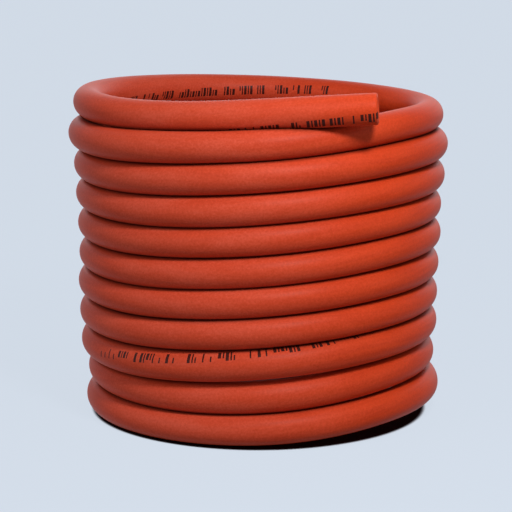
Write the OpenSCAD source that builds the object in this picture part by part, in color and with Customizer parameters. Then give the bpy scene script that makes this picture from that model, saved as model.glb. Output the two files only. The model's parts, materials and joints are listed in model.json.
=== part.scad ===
// Rubber gas tubing wound into a standing coil, in millimetres.
// One hollow hose: lower end curled inside the coil, ten full turns, and an upper end that leaves the coil straight.
// The coil stands on Z = 0 and climbs counter-clockwise seen from above. The front is -Y.

/* [Hose] */
// Bore of the hose
bore_d = 10; // [6:0.5:11]
// Wall of the hose
wall = 2.5; // [2:0.25:3]

/* [Coil] */
// Full turns of the coil
turns = 10; // [3:1:12]
// Clear width inside the bottom turn
inside_bottom = 152; // [150:1:180]
// Clear width inside the top turn
inside_top = 159; // [145:1:180]
// Clearance between one turn and the next
turn_gap = 0.05; // [0.05:0.05:1]
// How far the second turn from the floor is drawn in
waist = 2.2; // [0:0.1:2.5]
// How far the second turn from the top stands out
flare = 2.6; // [0:0.1:3.5]
// Gap at the left between the bottom turn and the one above
foot_gap = 0.5; // [0.5:0.1:1.5]
// How far the bottom turn climbs from the left side to the right
foot_rise = 7; // [4:0.5:7]
// Extra gap between the second and third turns from the floor
loose_gap = 0.5; // [0:0.1:1.5]
// How much higher than half a turn the right side of every turn sits
lean = 1.2; // [0:0.1:1.2]

/* [Ends] */
// Extra lift of the last turn at the left
top_lift = 1.9; // [1.9:0.1:4]
// Climb of the upper end, as if it went on to the right side of the coil
end_rise = 5.6; // [5.6:0.1:8]
// Straight length of the upper end
upper_end = 54; // [30:1:80]
// Bend radius of the lower end, inside the coil
tail_bend = 60; // [45:1:62]
// Straight length of the lower end
lower_end = 30; // [15:1:40]

/* [Hidden] */
$fn = 96;
hose_d = bore_d + 2 * wall;
// Half turns, numbered from the floor: even ones cross the front from left to right, odd ones the back.
halves = 2 * turns;
// The middle of the drawn-in turn and of the flared one, in turns, and how far each spreads.
waist_at = 1.15;
waist_spread = 0.5;
flare_at = turns - 1.15;
flare_spread = 0.6;
// First half turn that sits above the loose gap.
loose_from = 4;
// A turn touches the next one square to the hose, so the rise of a turn is a little over the hose's width.
steepest = atan((hose_d / 2 + lean) / (inside_bottom + hose_d));
pitch = (hose_d + turn_gap) / cos(steepest);
rubber = [0.72, 0.24, 0.13];

// The side points of the coil: even ones on the left, odd ones on the right, all on the X axis seen from above.
function swell(t, at, spread) = exp(-pow((t - at) / spread, 2));
function inside(i) = inside_bottom + (inside_top - inside_bottom) * i / halves;
function side_r(i) = (inside(i) + hose_d) / 2
    - waist * swell(i / 2, waist_at, waist_spread)
    + flare * swell(i / 2, flare_at, flare_spread);
function side_x(i) = (i % 2 == 0 ? -1 : 1) * side_r(i);
function side_z(i) =
    i == 0 ? hose_d / 2 :
    i == 1 ? hose_d / 2 + foot_rise :
    i > halves ? side_z(halves) + end_rise :
    hose_d / 2 + pitch * i / 2 + foot_gap
        + (i >= loose_from ? loose_gap : 0)
        + (i % 2 == 1 ? lean : 0)
        + (i == halves ? top_lift : 0);

// Every half turn is half a flat ring, tilted so that it ends at the next side point.
function run(i) = abs(side_x(i + 1) - side_x(i));
function climb(i) = side_z(i + 1) - side_z(i);
function tilt(i) = atan(climb(i) / run(i));
// Lengths of whole thousandths and angles with a cosine of six decimals let neighbouring half turns meet exactly.
function half_r(i) = round(500 * norm([run(i), climb(i)])) / 1000;
function even(angle) = acos(round(1000000 * cos(angle)) / 1000000);

// Middle of the coil's width and depth, taken to the origin.
mid_x = (max([for (i = [1 : 2 : halves]) side_r(i)]) - max([for (i = [0 : 2 : halves]) side_r(i)])) / 2;
mid_y = (max([for (i = [1 : 2 : halves]) half_r(i)]) - max([for (i = [0 : 2 : halves]) half_r(i)])) / 2;

module hose_arc(r, angle) {
    rotate_extrude(angle = angle)
        translate([r, 0])
            difference() {
                circle(d = hose_d, $fn = 48);
                circle(d = bore_d, $fn = 48);
            }
}

module hose_straight(length) {
    rotate_extrude()
        translate([bore_d / 2, 0])
            square([wall, length]);
}

// Puts its children at a side point, with X towards the next one. Each point is reached along the half turns before it.
module at_side(i) {
    if (i == 0)
        rotate([0, -even(tilt(0)), 0])
            children();
    else
        at_side(i - 1)
            translate([2 * half_r(i - 1), 0, 0])
                rotate([0, -even(tilt(i - 1) + tilt(i)), 180])
                    children();
}

module coil() {
    for (i = [0 : halves - 1])
        at_side(i)
            translate([half_r(i), 0, 0])
                rotate([0, 0, 180])
                    hose_arc(half_r(i), 180);
}

module top_run() {
    at_side(halves)
        translate([half_r(halves), 0, 0]) {
            rotate([0, 0, 180])
                hose_arc(half_r(halves), 90);
            translate([0, -half_r(halves), 0])
                rotate([0, 90, 0])
                    hose_straight(upper_end);
        }
}

module tail() {
    translate([tail_bend, 0, 0])
        mirror([0, 1, 0]) {
            rotate([0, 0, 180])
                hose_arc(tail_bend, 90);
            translate([0, -tail_bend, 0])
                rotate([0, 90, 0])
                    hose_straight(lower_end);
        }
}

module gas_tubing() {
    color(rubber)
        translate([side_x(0) - mid_x, -mid_y, side_z(0)]) {
            coil();
            top_run();
            tail();
        }
}

gas_tubing();
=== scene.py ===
import bpy
import json
import numpy as np
from math import atan, cos, exp, hypot, pi, radians, sin
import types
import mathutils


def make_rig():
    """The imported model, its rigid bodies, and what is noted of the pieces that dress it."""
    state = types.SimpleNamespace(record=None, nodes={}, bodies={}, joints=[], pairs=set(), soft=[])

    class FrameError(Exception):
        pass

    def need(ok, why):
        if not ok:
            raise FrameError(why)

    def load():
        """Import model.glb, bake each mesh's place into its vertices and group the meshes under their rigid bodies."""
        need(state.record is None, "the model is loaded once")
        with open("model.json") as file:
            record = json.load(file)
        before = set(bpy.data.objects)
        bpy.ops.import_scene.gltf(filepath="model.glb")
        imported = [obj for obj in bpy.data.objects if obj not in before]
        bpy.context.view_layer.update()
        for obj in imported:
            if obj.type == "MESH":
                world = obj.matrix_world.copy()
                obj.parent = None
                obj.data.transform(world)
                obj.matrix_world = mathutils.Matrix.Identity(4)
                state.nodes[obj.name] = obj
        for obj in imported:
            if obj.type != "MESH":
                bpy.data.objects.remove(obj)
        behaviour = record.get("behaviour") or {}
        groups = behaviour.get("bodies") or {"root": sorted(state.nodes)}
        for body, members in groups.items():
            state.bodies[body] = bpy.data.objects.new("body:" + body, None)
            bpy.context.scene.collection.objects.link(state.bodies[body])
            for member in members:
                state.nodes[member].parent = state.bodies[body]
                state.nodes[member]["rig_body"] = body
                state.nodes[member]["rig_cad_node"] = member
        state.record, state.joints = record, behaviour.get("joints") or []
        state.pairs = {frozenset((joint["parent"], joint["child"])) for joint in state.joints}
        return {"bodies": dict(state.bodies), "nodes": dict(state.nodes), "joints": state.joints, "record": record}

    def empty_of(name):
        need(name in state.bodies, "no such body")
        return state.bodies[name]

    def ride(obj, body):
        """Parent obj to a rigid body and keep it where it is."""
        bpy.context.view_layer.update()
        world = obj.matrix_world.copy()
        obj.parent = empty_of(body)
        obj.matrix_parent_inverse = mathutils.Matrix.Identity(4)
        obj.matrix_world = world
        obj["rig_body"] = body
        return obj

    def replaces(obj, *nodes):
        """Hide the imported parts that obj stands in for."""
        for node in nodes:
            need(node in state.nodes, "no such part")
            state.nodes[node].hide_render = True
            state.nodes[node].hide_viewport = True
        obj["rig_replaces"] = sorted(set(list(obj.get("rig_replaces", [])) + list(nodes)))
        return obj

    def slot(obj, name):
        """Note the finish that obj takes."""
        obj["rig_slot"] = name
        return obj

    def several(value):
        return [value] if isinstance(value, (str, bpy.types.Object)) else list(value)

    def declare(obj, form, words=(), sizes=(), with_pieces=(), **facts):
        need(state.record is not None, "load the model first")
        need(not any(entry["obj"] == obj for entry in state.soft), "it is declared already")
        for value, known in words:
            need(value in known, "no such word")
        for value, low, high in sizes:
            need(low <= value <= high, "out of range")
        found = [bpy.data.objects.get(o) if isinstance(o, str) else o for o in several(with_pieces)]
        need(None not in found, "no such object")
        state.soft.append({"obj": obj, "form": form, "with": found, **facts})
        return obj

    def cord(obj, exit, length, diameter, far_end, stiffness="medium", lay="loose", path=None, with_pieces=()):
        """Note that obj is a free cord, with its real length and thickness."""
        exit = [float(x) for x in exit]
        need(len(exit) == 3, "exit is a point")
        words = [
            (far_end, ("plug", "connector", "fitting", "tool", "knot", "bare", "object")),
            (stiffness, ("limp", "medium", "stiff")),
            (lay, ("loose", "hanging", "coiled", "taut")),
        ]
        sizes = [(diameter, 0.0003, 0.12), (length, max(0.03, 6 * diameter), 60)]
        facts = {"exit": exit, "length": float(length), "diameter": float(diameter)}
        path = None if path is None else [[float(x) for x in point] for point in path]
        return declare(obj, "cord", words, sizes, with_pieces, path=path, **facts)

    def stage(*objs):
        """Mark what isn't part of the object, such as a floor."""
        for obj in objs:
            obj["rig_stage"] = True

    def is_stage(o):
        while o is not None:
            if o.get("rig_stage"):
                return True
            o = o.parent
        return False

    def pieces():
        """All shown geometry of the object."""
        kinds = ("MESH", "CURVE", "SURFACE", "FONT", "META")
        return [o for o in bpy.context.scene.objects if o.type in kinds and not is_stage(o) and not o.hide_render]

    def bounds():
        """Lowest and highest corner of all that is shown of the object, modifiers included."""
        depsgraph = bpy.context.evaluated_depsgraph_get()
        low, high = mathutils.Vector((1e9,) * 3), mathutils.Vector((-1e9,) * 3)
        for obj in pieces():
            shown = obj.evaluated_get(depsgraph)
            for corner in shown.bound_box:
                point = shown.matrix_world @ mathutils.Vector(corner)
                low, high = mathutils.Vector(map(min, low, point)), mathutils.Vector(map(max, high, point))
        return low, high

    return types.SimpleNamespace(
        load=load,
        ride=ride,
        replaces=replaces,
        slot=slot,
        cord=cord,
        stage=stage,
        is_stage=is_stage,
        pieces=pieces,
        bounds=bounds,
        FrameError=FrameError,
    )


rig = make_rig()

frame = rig.load()
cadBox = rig.bounds()

# camera

shot = {
    "distance": 0.9835,      # from the aim point, in metres
    "above": 10.646,         # how far the camera looks down, in degrees
    "aimX": -0.001307,       # the point it looks at
    "aimZ": 0.078756,
    "lens": 133.26,          # on a 36 mm sensor
}

camera = bpy.data.objects.new("camera", bpy.data.cameras.new("camera"))
camera.data.lens = shot["lens"]
camera.data.sensor_width = 36
camera.data.clip_end = 50
down = radians(shot["above"])
camera.location = (shot["aimX"], -shot["distance"] * cos(down), shot["aimZ"] + shot["distance"] * sin(down))
camera.rotation_euler = (pi / 2 - down, 0, 0)
bpy.context.scene.collection.objects.link(camera)
bpy.context.scene.camera = camera
print("camera placed")

# hose: the line it follows, in metres, with the sizes of the part's source

hose = {
    "bore": 0.010,
    "wall": 0.0025,
    "turns": 10,
    "insideBottom": 0.152,   # clear width inside the bottom turn
    "insideTop": 0.159,
    "turnGap": 0.00005,
    "waist": (0.0022, 1.15, 0.5),      # how far a low turn is drawn in, at which turn, over how many turns
    "flare": (0.0026, 8.85, 0.6),      # how far a high turn stands out
    "footGap": 0.0005,
    "footRise": 0.007,
    "looseGap": 0.0005,
    "lean": 0.0012,
    "topLift": 0.0019,
    "endRise": 0.0056,
    "upperEnd": 0.054,       # straight length of each end
    "lowerEnd": 0.030,
    "tailBend": 0.060,       # radius of the bend inside the coil
    "ringsPerHalf": 72,
    "around": 40,            # points round the hose
    "outerRim": 0.0009,      # rounding of the cut edges
    "innerRim": 0.0004,
    "dome": 0.0003,          # how far the cut face bulges
    "unevenness": 0.00004,
    "grooveReach": 0.0021,   # how far apart two turns are where the groove between them, and the painted shade in it, begins
    "fullest": 0.0079,       # largest radius where the turns have room
}

# how the wound turns differ from even half rings, in millimetres: left, right, left and so on from the floor
handWound = {
    "sway": (1.01, 2.17, 0.53, 0.16, -0.67, -0.20, -0.68, -0.24, -0.79, -0.31, 0.13, 0.17, 0.10, 0.10, -0.35, 0.96, -0.25, 0.04, -0.39, -1.45, -0.01, 0.00),
    "lift": (0.48, -0.33, 0.02, -0.84, -1.09, -0.27, -1.09, -0.27, -0.69, -0.03, -0.92, 0.53, -0.66, 0.30, -0.28, 0.29, -0.26, 0.98, 0.26, 0.82, -1.02, -0.60),
    "front": (               # how each front strand, from the lowest, bows up between its sides
        (-0.08, -2.55, 1.31, -0.50),
        (-0.75, -2.95, 1.19, -0.53),
        (0.18, -2.72, 0.21, -0.31),
        (0.92, -2.20, 0.59, -0.40),
        (0.32, -2.81, 0.47, -0.38),
        (-0.13, -2.92, 0.40, -0.50),
        (0.05, -2.32, 0.41, -0.30),
        (-0.65, -2.99, 0.12, -0.40),
        (-0.48, -3.02, 0.29, -0.69),
        (-0.45, -3.43, 0.88, -0.91),
        (-2.15, -2.55, -0.75, 0.00),
    ),
    "longer": 1.2,           # the upper end
    "setBack": (3.0, 7.6),   # how far the topmost strand lies behind the one below it, and how much more of that to the left
}


def swell(turn, amount, at, spread):
    return amount * exp(-((turn - at) / spread) ** 2)


def sidePoints():            # where the line crosses the left and right sides, seen from the front
    width = hose["bore"] + 2 * hose["wall"]
    halves = 2 * hose["turns"]
    steepest = atan((width / 2 + hose["lean"]) / (hose["insideBottom"] + width))
    pitch = (width + hose["turnGap"]) / cos(steepest)
    across, height = [], []
    for i in range(halves + 2):
        inside = hose["insideBottom"] + (hose["insideTop"] - hose["insideBottom"]) * i / halves
        reach = (inside + width) / 2 - swell(i / 2, *hose["waist"]) + swell(i / 2, *hose["flare"])
        rise = width / 2 + pitch * i / 2 + hose["footGap"]
        rise += hose["looseGap"] if i >= 4 else 0
        rise += hose["lean"] if i % 2 else 0
        rise += hose["topLift"] if i == halves else 0
        if i < 2:
            rise = width / 2 + i * hose["footRise"]
        if i > halves:
            rise = height[halves] + hose["endRise"]
        across.append(reach if i % 2 else -reach)
        height.append(rise)
    return np.array(across), np.array(height)


def hoseLine():
    across, height = sidePoints()
    halves = 2 * hose["turns"]
    radii = np.hypot(np.diff(across), np.diff(height)) / 2
    middle = np.array([(max(across[1:halves + 1:2]) + min(across[0:halves + 1:2])) / 2, (max(radii[1::2]) - max(radii[0::2])) / 2, 0])
    floorHeight = height[0]
    sway, lift, front, setBack = (np.array(handWound[k]) / 1000 for k in ("sway", "lift", "front", "setBack"))
    across, height = across + sway, height + lift
    points = []
    bend = hose["tailBend"]
    tailRings = 34
    start = across[0] + bend
    for run in np.linspace(hose["lowerEnd"] - sway[0], 0, 9)[:-1]:
        points.append((start + run, bend, floorHeight))
    for turn in np.linspace(1, 0, 27)[:-1]:
        ease = 0.5 + 0.5 * cos(pi * turn)
        points.append((start - bend * cos(turn * pi / 2), bend * sin(turn * pi / 2), floorHeight + lift[0] * ease))
    for i in range(halves + 1):
        radius = hypot(across[i + 1] - across[i], height[i + 1] - height[i]) / 2
        count = hose["ringsPerHalf"]
        side = -1 if i % 2 == 0 else 1
        for k in range(count if i < halves else count // 2 + 1):
            a = pi * k / count
            x = (across[i] + across[i + 1]) / 2 + (across[i] - across[i + 1]) / 2 * cos(a)
            z = (height[i] + height[i + 1]) / 2 + (height[i] - height[i + 1]) / 2 * cos(a)
            if side < 0:
                z += sin(a) ** 2 * sum(bow * cos(m * a) for m, bow in enumerate(front[i // 2]))
            back = sin(a) ** 2 * (setBack[0] + setBack[1] * cos(a)) if i == halves else 0
            points.append((x, side * radius * sin(a) + back, z))
    last = np.array(points[-1])
    way = last - points[-2]
    way /= np.linalg.norm(way)
    for run in np.linspace(0, hose["upperEnd"] + handWound["longer"] / 1000, 16)[1:]:
        points.append(last + way * run)
    return np.array(points) - middle, tailRings


def fullness(line, tailRings):     # the radius at each ring: a turn with room beside it is rounder, and the turns close up
    turn = 2 * hose["ringsPerHalf"]
    below = np.arange(tailRings, tailRings + 9 * turn)
    run = np.gradient(line, axis=0)[below]
    run /= np.linalg.norm(run, axis=1)[:, None]
    apart = line[below + turn] - line[below]
    room = np.linalg.norm(apart - (apart * run).sum(axis=1)[:, None] * run, axis=1) / 2
    radius = np.full(len(line), hose["bore"] / 2 + hose["wall"])
    radius[below] = np.maximum(radius[below], room)
    radius[below + turn] = np.maximum(radius[below + turn], room)
    spread = np.hanning(19) / np.hanning(19).sum()
    radius = np.convolve(np.pad(np.clip(radius * 1.003, 0, hose["fullest"]), 9, "edge"), spread, "valid")
    return radius


# printing: rows of plain bars that stand for the printed line of the real hose

printing = {
    # where each run starts, in half turns from the floor, and the side of the hose it is on at its start and end, in degrees: 0 outward, 90 up, 180 inward
    "runs": (
        (0.40, 150, 215), (1.33, -30, 35), (2.26, 150, 215), (3.19, -30, 35), (4.178, 12, 77), (5.03, 35, -30), (5.94, 150, 215), (6.85, 150, 215),
        (7.755, 150, 215), (8.66, 150, 215), (9.57, 150, 215), (10.47, 150, 215), (11.37, -30, 35), (12.27, 150, 215), (13.17, -30, 35), (14.07, 150, 215),
        (15.02, -30, 35), (15.85, 150, 215), (16.73, 150, 215), (17.605, 150, 215), (18.47, 150, 215), (19.337, 158, 217), (20.232, 262, 338),
    ),
    "cells": 38,             # cells in a run
    "cell": 0.0036,          # length of one cell, five dots
    "height": 0.0048,
    "dots": 7,               # dots in the height of a bar
    "ink": (0.012, 0.006, 0.006),
    "wear": 0.12,
}


def inkRuns(along, tailRings):
    rows, cell = [], printing["cell"]
    for turn, first, last in printing["runs"]:
        start = np.interp(tailRings + turn * hose["ringsPerHalf"], np.arange(len(along)), along)
        start = round(start / cell) * cell
        rows.append((start, start + printing["cells"] * cell, first, last))
    return rows


def inkSide(along, runs):    # the side of the hose that the print line is on, all along
    places, sides = [], []
    for start, end, first, last in runs:
        places += [start, end]
        sides += [first, last]
    return np.interp(along, places, np.degrees(np.unwrap(np.radians(sides))))


def inkPresence(along, runs):      # over a half inside a run
    near = np.zeros_like(along)
    for start, end, first, last in runs:
        near = np.maximum(near, np.clip(np.minimum(along - start, end - along) / 0.016 + 0.5, 0, 1))
    return near


def turnsBeside(line, spots, rows):      # how far each spot of the skin is from the centre of the turn above or below
    nearest = np.full(spots.shape[:2], 1.0)
    for shift in range(-14, 15):
        for turn in (-2, 2):
            other = rows + turn * hose["ringsPerHalf"] + shift
            real = (other >= 0) & (other < len(line))
            gaps = np.linalg.norm(spots[real] - line[other[real]][:, None, :], axis=2)
            nearest[real] = np.minimum(nearest[real], gaps)
    return nearest


def buildHose():
    line, tailRings = hoseLine()
    along = np.concatenate([[0], np.cumsum(np.linalg.norm(np.diff(line, axis=0), axis=1))])
    tangent = np.gradient(line, axis=0)
    tangent[0], tangent[-1] = line[1] - line[0], line[-1] - line[-2]
    tangent /= np.linalg.norm(tangent, axis=1)[:, None]
    up = np.array([0, 0, 1]) - tangent[:, 2:3] * tangent
    up /= np.linalg.norm(up, axis=1)[:, None]
    out = np.cross(tangent, up)
    runs = inkRuns(along, tailRings)
    inner = hose["bore"] / 2
    outers = fullness(line, tailRings)
    big, small, last = hose["outerRim"], hose["innerRim"], len(line) - 1
    # one closed skin: rows of (ring, radius, step past the ring, on the cut face, in the bore)
    rows = [(j, outers[j], 0, 0, 0) for j in range(1, last)]
    corner = [radians(q) for q in (0, 22, 45, 68, 90)]

    def mouth(ring, sign):
        outer = outers[ring]
        edge = [(ring, outer - big + big * cos(q), sign * (big * sin(q) - big), min(1, q * 0.7), 0) for q in corner]
        face = []
        for share in (0.92, 0.8, 0.6, 0.4, 0.2, 0.08):
            radius = inner + small + (outer - inner - big - small) * share
            face.append((ring, radius, sign * hose["dome"] * 4 * share * (1 - share), 1, 0))
        lip = [(ring, inner + small - small * sin(q), sign * (small * cos(q) - small), 1 - q / pi, q / pi * 2) for q in corner]
        return edge + face + lip

    rows += mouth(last, 1)
    rows += [(j, inner, 0, 0, 1) for j in range(last - 1, 0, -3)]
    rows += mouth(0, -1)[::-1]
    ring = np.array([r[0] for r in rows])
    radius = np.array([r[1] for r in rows])[:, None]
    step = np.array([r[2] for r in rows])[:, None]
    angle = np.linspace(0, 2 * pi, hose["around"], endpoint=False)[None, :]
    place = along[ring][:, None] + step
    uneven = np.sin(place * 61 + 2 * angle) + np.sin(place * 23 - angle) + np.sin(place * 140 + 3 * angle + 1)
    skin = radius > inner + 0.002
    thick = radius + hose["unevenness"] * uneven / 3 * skin
    centre = line[ring][:, None, :] + tangent[ring][:, None, :] * step[:, :, None]
    away = np.cos(angle)[:, :, None] * out[ring][:, None, :] + np.sin(angle)[:, :, None] * up[ring][:, None, :]
    # the turns press on each other: the skin gives way up to halfway to the next turn
    for again in range(3):
        beside = turnsBeside(line, centre + thick[:, :, None] * away, ring)
        thick = np.where(skin & (beside < thick), (thick + beside) / 2, thick)
    spots = centre + thick[:, :, None] * away
    # how near each spot is to the next turn: where the turns touch, the groove gets a painted shade
    groove = np.clip(1 - (turnsBeside(line, spots, ring) - outers[ring][:, None]) / hose["grooveReach"], 0, 1) * skin
    count, around = len(rows), hose["around"]
    index = np.arange(count * around).reshape(count, around)
    ahead, beside = np.roll(index, -1, axis=0), np.roll(index, -1, axis=1)
    both = np.roll(ahead, -1, axis=1)
    faces = np.stack([index, ahead, both, beside], axis=2).reshape(-1, 4)
    mesh = bpy.data.meshes.new("gasHose")
    mesh.from_pydata(spots.reshape(-1, 3).tolist(), [], faces.tolist())
    mesh.polygons.foreach_set("use_smooth", np.ones(len(faces), dtype=bool))
    # the place of each point on the hose as if it were unwound, with the print line at angle 0
    turned = angle - np.radians(inkSide(place, runs))
    unwound = np.stack([place + 0 * angle, radius * np.cos(turned), radius * np.sin(turned)], axis=2)
    mesh.attributes.new("unwound", "FLOAT_VECTOR", "POINT").data.foreach_set("vector", unwound.astype(np.float32).ravel())
    cutFace, boreWall = (np.array([[row[k]] for row in rows]) for k in (3, 4))
    for name, values in (("cutFace", cutFace), ("boreWall", boreWall), ("printed", inkPresence(place, runs)), ("groove", groove)):
        spread = np.broadcast_to(values, (count, around)).astype(np.float32)
        mesh.attributes.new(name, "FLOAT", "POINT").data.foreach_set("value", spread.ravel())
    mesh.validate()
    piece = bpy.data.objects.new("gasHose", mesh)
    bpy.context.scene.collection.objects.link(piece)
    return piece, line, along[-1]


gasHose, line, length = buildHose()
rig.ride(gasHose, "root")
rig.replaces(gasHose, "gas_tubing")
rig.slot(gasHose, "hose_rubber")
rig.cord(gasHose, exit=line[-1], length=length, diameter=hose["bore"] + 2 * hose["wall"], far_end="bare", stiffness="medium", lay="coiled", path=line)
print("hose wound,", round(length, 3), "m,", len(gasHose.data.polygons) * 2, "triangles")

# shader sums


class Wire:                  # an output socket that works in sums
    def __init__(self, paint, socket):
        self.paint, self.socket = paint, socket

    def sum(self, operation, *terms):
        return self.paint.sum(operation, *terms)

    def __add__(self, other): return self.sum("ADD", self, other)
    def __radd__(self, other): return self.sum("ADD", other, self)
    def __sub__(self, other): return self.sum("SUBTRACT", self, other)
    def __rsub__(self, other): return self.sum("SUBTRACT", other, self)
    def __mul__(self, other): return self.sum("MULTIPLY", self, other)
    def __rmul__(self, other): return self.sum("MULTIPLY", other, self)
    def __truediv__(self, other): return self.sum("DIVIDE", self, other)
    def __rtruediv__(self, other): return self.sum("DIVIDE", other, self)
    def __pow__(self, other): return self.sum("POWER", self, other)
    def __mod__(self, other): return self.sum("FLOORED_MODULO", self, other)
    def __gt__(self, other): return self.sum("GREATER_THAN", self, other)
    def __lt__(self, other): return self.sum("LESS_THAN", self, other)
    def __abs__(self): return self.sum("ABSOLUTE", self)
    def whole(self): return self.sum("FLOOR", self)


class Paint:                 # a material or the world, and the nodes in it
    def __init__(self, owner):
        self.owner = owner
        owner.use_nodes = True
        self.tree = owner.node_tree
        self.tree.nodes.clear()

    def add(self, kind, settings=None, values=None, output=0):
        node = self.tree.nodes.new(kind)
        for name, value in (settings or {}).items():
            if name == "stops":
                while len(node.color_ramp.elements) < len(value):
                    node.color_ramp.elements.new(0.5)
                for element, (place, colour) in zip(node.color_ramp.elements, value):
                    element.position, element.color = place, colour
            else:
                setattr(node, name, value)
        for name, value in (values or {}).items():
            if isinstance(value, Wire):
                self.tree.links.new(value.socket, node.inputs[name])
            else:
                node.inputs[name].default_value = value
        node.location = (220 * (len(self.tree.nodes) % 12), -240 * (len(self.tree.nodes) // 12))
        return Wire(self, node.outputs[output]) if len(node.outputs) else node

    def seen(self):                                              # 1 for what the camera sees, straight or in a shiny or clear piece
        straight = self.add("ShaderNodeLightPath", output="Is Camera Ray")
        mirrored, through = (Wire(self, straight.socket.node.outputs["Is %s Ray" % kind]) for kind in ("Glossy", "Transmission"))
        return self.sum("MAXIMUM", self.sum("MAXIMUM", straight, mirrored), through)

    def sum(self, operation, *terms):
        return self.add("ShaderNodeMath", {"operation": operation}, dict(enumerate(terms)))

    def attribute(self, name, output):
        return self.add("ShaderNodeAttribute", {"attribute_name": name}, output=output)

    def noise(self, place, stretch, detail=2.0, rough=0.5):      # stretch: how many spots to a metre, each way
        spots = self.add("ShaderNodeVectorMath", {"operation": "MULTIPLY"}, {0: place, 1: stretch})
        return self.add("ShaderNodeTexNoise", None, {"Vector": spots, "Scale": 1.0, "Detail": detail, "Roughness": rough})

    def blend(self, mask, low, high):
        return self.add("ShaderNodeMix", {"data_type": "RGBA"}, {0: mask, 6: low, 7: high}, 2)

    def scaled(self, colour, amount):
        return self.add("ShaderNodeVectorMath", {"operation": "SCALE"}, {0: colour, "Scale": amount})

    def ramp(self, value, low, high):                            # 0 below low, 1 above high
        return self.add("ShaderNodeMapRange", {"interpolation_type": "SMOOTHSTEP"}, {0: value, 1: low, 2: high, 3: 0.0, 4: 1.0})


# rubber

rubber = {
    "base": (0.620, 0.0500, 0.0080, 1),      # clean rubber
    "deep": (0.530, 0.0385, 0.0060, 1),      # its darker streaks
    "bloomAndSheen": (0.600, 0.1080, 0.0700, 1),     # pale film on the skin, partly real bloom and partly a painted sheen
    "cut": (0.600, 0.0560, 0.0140, 1),       # freshly cut rubber
    "paintedGrooveShade": (0.030, 0.0030, 0.0012, 1),     # painted shade in the grooves between the turns
    "bloomAndSheenAmount": (0.52, 0.12),             # at the left and at the right of the coil: stronger on the left, a painted sheen of the light from that side
    "bloomAndSheenEdge": (-0.020, 0.070),            # from where to where it fades
    "roughness": 0.46,
    "gloss": 0.08,
}


def paintInk(paint, along, across, facing):
    column = along / (printing["cell"] / 5)
    row = across / (printing["height"] / printing["dots"]) + printing["dots"] / 2
    columnNumber, rowNumber = column.whole(), row.whole()
    cell = (columnNumber / 5).whole()
    inCell = columnNumber % 5
    pick = paint.add("ShaderNodeTexWhiteNoise", {"noise_dimensions": "1D"}, {"W": cell})
    # each cell holds one or two upright bars, of three heights
    wide = 1 + (pick > 0.3)
    bar = (inCell > 0.5) * (inCell < wide + 0.9) + (inCell > 3.5) * (pick > 0.45)
    low = 2 * (pick > 0.6) * (pick < 0.85)
    tall = (rowNumber > low - 0.5) * (rowNumber < printing["dots"] - 0.5 - 3 * (pick < 0.16))
    gap = (cell % 8) > 0.5                                       # a blank between groups
    dot = ((column - columnNumber - 0.5) ** 2 + (row - rowNumber - 0.5) ** 2) ** 0.5
    smudge = paint.noise(paint.attribute("unwound", "Vector"), (900, 900, 900))
    shape = 1 - paint.ramp(dot + (smudge - 0.5) * 0.3, 0.58, 0.78)
    printed = paint.attribute("printed", "Fac") > 0.5
    return bar * tall * gap * shape * printed * (facing > 0)


def paintRubber():
    paint = Paint(bpy.data.materials.new("orangeRubber"))
    unwound = paint.attribute("unwound", "Vector")
    split = paint.add("ShaderNodeSeparateXYZ", None, {0: unwound})
    sides = split.socket.node.outputs
    along, facing, across = split, Wire(paint, sides[1]), Wire(paint, sides[2])
    streaks = paint.noise(unwound, (14, 560, 560), 3.0, 0.6)
    mottle = paint.noise(unwound, (30, 110, 110), 3.0, 0.55)
    grain = paint.noise(unwound, (1000, 1000, 1000), 3.0, 0.7)
    cutFace, boreWall = paint.attribute("cutFace", "Fac"), paint.attribute("boreWall", "Fac")
    groove = paint.attribute("groove", "Fac")
    tone = paint.ramp(streaks * 0.5 + mottle * 0.5, 0.32, 0.66)
    skin = paint.blend(tone, rubber["deep"], rubber["base"])
    # partly real bloom, partly painted sheen: the film is set by the place on the coil, stronger on the left
    spot = paint.add("ShaderNodeSeparateXYZ", None, {0: paint.add("ShaderNodeTexCoord", output="Object")})
    left, right = rubber["bloomAndSheenAmount"]
    amount = left + (right - left) * paint.ramp(spot, *rubber["bloomAndSheenEdge"])
    filmAndSheen = (0.45 + 0.55 * paint.ramp(mottle * 0.5 + grain * 0.5, 0.38, 0.68)) * amount
    skin = paint.blend(filmAndSheen, skin, rubber["bloomAndSheen"])
    skin = paint.blend(cutFace, skin, rubber["cut"])
    # the grain varies the tone at random; the bore is darker, a painted shade inside the hose
    skin = paint.scaled(skin, 0.74 + grain * 0.52 - boreWall * 0.35)
    ink = paintInk(paint, along, across, facing)
    skin = paint.blend(ink * (1 - printing["wear"] * grain), skin, printing["ink"] + (1,))
    # painted shade: the grooves where the turns touch are painted near-black
    skin = paint.blend(groove * 0.95, skin, rubber["paintedGrooveShade"])
    roughness = rubber["roughness"] + (grain - 0.5) * 0.14 + (mottle - 0.5) * 0.12 + cutFace * 0.12 + groove * 0.3 - ink * 0.05
    relief = streaks * 0.5 + grain * 0.3 + ink * 0.12 + cutFace * grain * 0.8
    normal = paint.add("ShaderNodeBump", None, {"Strength": 0.25, "Distance": 0.0001, "Height": relief})
    shader = paint.add("ShaderNodeBsdfPrincipled", None, {
        "Base Color": skin, "Roughness": roughness, "Normal": normal, "Specular IOR Level": rubber["gloss"],
    })
    paint.add("ShaderNodeOutputMaterial", None, {"Surface": shader})
    return paint.owner


gasHose.data.materials.append(paintRubber())
print("rubber painted")

# floor and light

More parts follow.
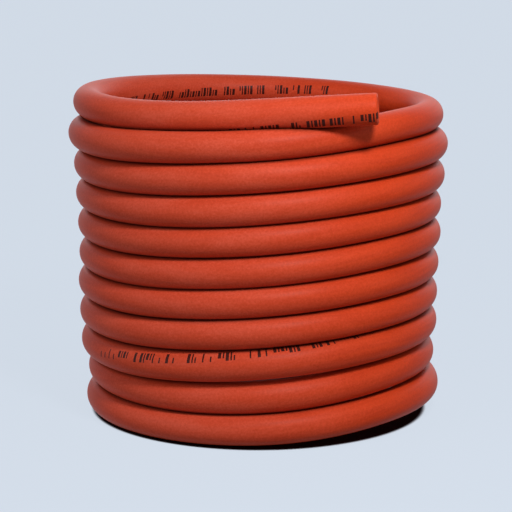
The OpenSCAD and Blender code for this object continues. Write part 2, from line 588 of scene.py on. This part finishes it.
studio = {
    "floorColour": (0.700, 0.760, 0.850, 1),
    "floorBounce": (0.260, 0.260, 0.270, 1),      # what it throws back at the object
    "backdrop": (0.668, 0.738, 0.832, 1),
    "plainShare": 0.93,      # how much of the floor the camera sees as plain backdrop, without shadow
    "shade": (0.026, 0.008, 0.009, 1),            # the floor where the hose hides most of the sky
    "openSky": (0.20, 0.30), # share of open sky at which the shade ends and the plain floor begins
    "skyReach": 0.2,
    "well": (0.0850, 0.0880),                     # the floor within this radius lies inside the coil or under it
    "wellBehind": (0.074, 0.080),                 # the same at the back, where the lowest turn is off the floor
    "behind": (0.0, 0.030),
    "corner": (0.020, 0.066),                     # from where to where it darkens towards the wall of the coil
    "floorSize": 14.0,
    "skyColour": (0.95, 0.97, 1.0, 1),
    "skyLight": 0.20,
    "aim": (0.0, 0.0, 0.09),
    # kind, degrees off the vertical and towards the right of the front, strength, width in degrees or in metres, distance
    "lamps": {
        "leftBox": ("SUN", 80, -62, 0.86, 60, 1.0),
        "rightBox": ("SUN", 86, 76, 0.50, 60, 1.0),
        "backBox": ("SUN", 76, 172, 0.65, 60, 1.0),
        "keyBox": ("AREA", 50, 17, 2.02, 0.10, 0.55),
    },
}


def layFloor():
    half = studio["floorSize"] / 2
    mesh = bpy.data.meshes.new("floor")
    mesh.from_pydata([(-half, -half, 0), (half, -half, 0), (half, half, 0), (-half, half, 0)], [], [(0, 1, 2, 3)])
    floor = bpy.data.objects.new("floor", mesh)
    bpy.context.scene.collection.objects.link(floor)
    paint = Paint(bpy.data.materials.new("paleFloor"))
    seen = paint.seen()
    sky = paint.add("ShaderNodeAmbientOcclusion", {"samples": 32}, {"Distance": studio["skyReach"]}, "AO")
    spot = paint.add("ShaderNodeSeparateXYZ", None, {0: paint.add("ShaderNodeTexCoord", output="Object")})
    depth = Wire(paint, spot.socket.node.outputs[1])
    reach = (spot ** 2 + depth ** 2) ** 0.5
    behind = paint.ramp(depth, *studio["behind"]) * paint.ramp(reach, *studio["wellBehind"])
    outside = paint.sum("MAXIMUM", paint.ramp(reach, *studio["well"]), behind)
    lit = paint.ramp(sky, *studio["openSky"]) * outside + (1 - paint.ramp(reach, *studio["corner"])) * (1 - outside)
    colour = paint.blend(seen, studio["floorBounce"], paint.blend(lit, studio["shade"], studio["floorColour"]))
    shader = paint.add("ShaderNodeBsdfDiffuse", None, {"Color": colour})
    plain = paint.add("ShaderNodeEmission", None, {"Color": studio["backdrop"]})
    both = paint.add("ShaderNodeMixShader", None, {0: seen * lit * outside * studio["plainShare"], 1: shader, 2: plain})
    paint.add("ShaderNodeOutputMaterial", None, {"Surface": both})
    mesh.materials.append(paint.owner)
    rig.stage(floor)


def lightStudio():
    for name, (kind, tilt, turn, strength, width, distance) in studio["lamps"].items():
        lamp = bpy.data.objects.new(name, bpy.data.lights.new(name, kind))
        tilt, turn = radians(tilt), radians(turn)
        if kind == "SUN":
            lamp.data.energy, lamp.data.angle = strength, radians(width)
        else:
            lamp.data.energy, lamp.data.size = strength * pi * distance ** 2, width
        lamp.rotation_euler = (tilt, 0, turn)
        way = np.array([sin(tilt) * sin(turn), -sin(tilt) * cos(turn), cos(tilt)])
        lamp.location = np.array(studio["aim"]) + distance * way
        bpy.context.scene.collection.objects.link(lamp)
    world = bpy.data.worlds.new("studio")
    bpy.context.scene.world = world
    paint = Paint(world)
    light = paint.add("ShaderNodeBackground", None, {"Color": studio["skyColour"], "Strength": studio["skyLight"]})
    plain = paint.add("ShaderNodeBackground", None, {"Color": studio["backdrop"], "Strength": 1.0})
    both = paint.add("ShaderNodeMixShader", None, {0: paint.seen(), 1: light, 2: plain})
    paint.add("ShaderNodeOutputWorld", None, {"Surface": both})


layFloor()
lightStudio()
bpy.context.scene.view_settings.view_transform = "Standard"
print("floor and light set")

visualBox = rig.bounds()
with open("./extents.json", "w") as sizes:
    json.dump({"cad": [list(corner) for corner in cadBox], "visual": [list(corner) for corner in visualBox]}, sizes)
